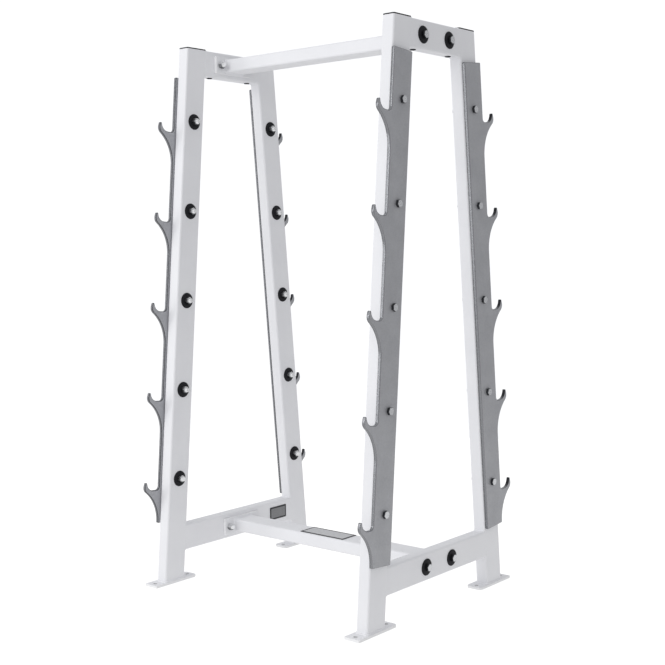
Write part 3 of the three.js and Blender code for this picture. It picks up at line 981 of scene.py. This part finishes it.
# %% Plugs
plug_edge, plug_proud, plug_radius = 35 * mm, 2.2 * mm, 8.25 * mm
plug_flat, plug_round = 4 * mm, 1.5 * mm
stem_radius, stem_height, stem_ease = 5 * mm, 6 * mm, 0.6 * mm
underside = frame_height - tube_wide
plug_centre = upright_inside(underside) - plug_edge
turn = np.linspace(0, np.pi / 2, 6)
button_radii = [
    0, plug_flat, *(plug_radius - plug_round + plug_round * np.sin(turn)), plug_radius,
    stem_radius, stem_radius, stem_radius - stem_ease, 0]
button_heights = [
    -plug_proud, -plug_proud, *(plug_round - plug_proud - plug_round * np.cos(turn)), -fit_gap,
    -fit_gap, stem_height - stem_ease, stem_height, stem_height]

for corner, side, end in corners:
    node = f"plug_{corner}"
    button = turned(button_radii, button_heights)[..., [1, 2, 0]]
    button = button + [side * frame_centre, end * plug_centre, underside]
    make_piece(f"{node}_button", [grid_part(button)], black_plastic, [node])
print("plugs stand", round(float(plug_centre / mm), 1), "mm from the middle")

# %% [markdown]
# ## The two sign plates
#
# A placard lies on the lower crossbar, and a smaller plate is fixed to the left frame's
# lower cross tube. Both are plain here: a dark border and a bare field. The border is
# painted by how far a point lies inside the plate's rectangle, which stays sharp at any
# distance and needs no picture.

# %% A plain sign
sign_thick, sign_corner, sign_easing = 1 * mm, 2 * mm, 0.2 * mm


def sign_piece(name, length, height, finish, place):
    """A plain sheet that stands for the node of its name."""
    outline = rounded_rectangle(length, height, sign_corner, sign_corner)
    part = plate_part(outline, [], sign_thick, sign_easing, place)
    make_piece(f"{name}_sheet", [part], finish, [name])
    print(name, round(length / mm), "x", round(height / mm), "mm")


# %% Placard
placard_length, placard_width, placard_border = 164 * mm, 64 * mm, 6.5 * mm
placard_base = cross_heights["lower"] + tube_narrow / 2 + fit_gap
placard_finish, shader, where = new_finish("placard_sheet")
sheen = clouds(where, 6 * mm, 3.0)
field = blend(sheen, (0.52, 0.525, 0.54), (0.60, 0.605, 0.62))
field = bordered(
    where, (0, 0, 0), (placard_length, placard_width), "XY",
    field, placard_border, (0.02, 0.021, 0.025))
gloss = spread(noise(where, 3 * mm), 0.35, 0.45)
coloured(shader, field, gloss)
emboss(noise(where, 4 * mm, 1.0), 0.05 * mm, shader)


def on_crossbar(a, b, depth):
    """Flat on the lower crossbar, in the rack's middle."""
    return np.stack([a, b, placard_base + depth], axis=-1)


sign_piece("placard", placard_length, placard_width, placard_finish, on_crossbar)

# %% Nameplate
nameplate_length, nameplate_height, nameplate_border = 76 * mm, 41 * mm, 5 * mm
nameplate_edge, brush_shrink = 23.7 * mm, 0.04
nameplate_y = upright_inside(cross_heights["lower"]) - nameplate_edge - nameplate_length / 2
nameplate_x = -frame_centre + tube_narrow / 2 + fit_gap
nameplate_middle = (nameplate_x, nameplate_y, cross_heights["lower"])
nameplate_finish, shader, where = new_finish("nameplate_sheet")
stretch = nameplate_finish.node_tree.nodes.new("ShaderNodeMapping")
stretch.inputs["Scale"].default_value = (1.0, brush_shrink, 1.0)
put(where, stretch.inputs["Vector"])
brushed = noise(stretch.outputs["Vector"], 0.5 * mm, 2.0)
streaks = spread(brushed, 0.0, 1.0)
field = blend(streaks, (0.19, 0.192, 0.2), (0.27, 0.272, 0.28))
field = bordered(
    where, nameplate_middle, (nameplate_length, nameplate_height), "YZ",
    field, nameplate_border, (0.03, 0.031, 0.035))
coloured(shader, field, spread(brushed, 0.35, 0.5))
shader.inputs["Metallic"].default_value = 0.3
emboss(brushed, 0.02 * mm, shader)


def on_cross_tube(a, b, depth):
    """Upright on the inner face of the left frame's lower cross tube."""
    x, y, z = nameplate_middle
    return np.stack([x + depth, y + a, z + b], axis=-1)


sign_piece("nameplate", nameplate_length, nameplate_height, nameplate_finish, on_cross_tube)

# %% [markdown]
# ## Floor and light
#
# The rack was photographed on white. The floor is a round, pale sheet that glows, like the
# lit table of a product studio, so it stays white and the shadows on it are faint. The sky
# is white for the camera and dimmer as a light, most of all from the right and the rear,
# or every face would be equally bright. A large soft lamp stands high in front. A tall one
# stands low at the left, where the front edges of the hook plates mirror it as a thin
# bright line.

# %% Floor
def seen_by_camera(finish):
    """1 for what the camera sees, 0 for the light that reaches other surfaces."""
    return finish.node_tree.nodes.new("ShaderNodeLightPath").outputs["Is Camera Ray"]


floor_radius = 2.6
ring = floor_radius * np.column_stack([np.cos(theta), np.sin(theta), np.zeros(columns)])
floor_mesh = bpy.data.meshes.new("floor")
floor_mesh.from_pydata(ring, [], [list(range(columns))])
floor = bpy.data.objects.new("floor", floor_mesh)
bpy.context.scene.collection.objects.link(floor)
floor_finish, shader, where = new_finish("studio_floor")
shader.inputs["Base Color"].default_value = (0.10, 0.10, 0.10, 1.0)
shader.inputs["Roughness"].default_value = 0.9
shader.inputs["Emission Color"].default_value = (1.0, 1.0, 1.0, 1.0)
glow = spread(seen_by_camera(floor_finish), 0.72, 1.02, 0.0, 1.0)
put(glow, shader.inputs["Emission Strength"])
floor_mesh.materials.append(floor_finish)

# %% Sky and lamp
dim_side = (0.8, 0.6, -0.35)
world = bpy.data.worlds.new("studio")
world.use_nodes = True
sky = world.node_tree.nodes["Background"]
towards = world.node_tree.nodes.new("ShaderNodeVectorMath")
towards.operation = "DOT_PRODUCT"
direction = world.node_tree.nodes.new("ShaderNodeTexCoord").outputs["Generated"]
put(direction, towards.inputs[0])
towards.inputs[1].default_value = dim_side
light = spread(towards.outputs["Value"], 0.75, 0.50, -0.5, 0.9)
seen = seen_by_camera(world)
strength = maths("MAXIMUM", light, maths("MULTIPLY", seen, 1.05))
put(strength, sky.inputs["Strength"])
sky.inputs["Color"].default_value = (0.98, 0.985, 1.0, 1.0)
bpy.context.scene.world = world


def soft_lamp(name, place, aim, size, power):
    """A lamp of a width and a height at a place, turned so that its -z looks at the aim."""
    lamp = bpy.data.objects.new(name, bpy.data.lights.new(name, "AREA"))
    lamp.data.shape = "RECTANGLE"
    lamp.data.size, lamp.data.size_y = size
    lamp.data.energy = power
    lamp.location = place
    lamp.rotation_euler = (Vector(aim) - Vector(place)).to_track_quat("-Z", "Y").to_euler()
    bpy.context.scene.collection.objects.link(lamp)


soft_lamp("front_lamp", (-0.3, -4.2, 2.6), (0, 0, 0.8), (2.0, 2.0), 44)
soft_lamp("edge_lamp", (-2.5, -3.4, 1.15), (0, 0, 0.9), (0.8, 2.2), 14)
bpy.context.scene.view_settings.view_transform = "Standard"
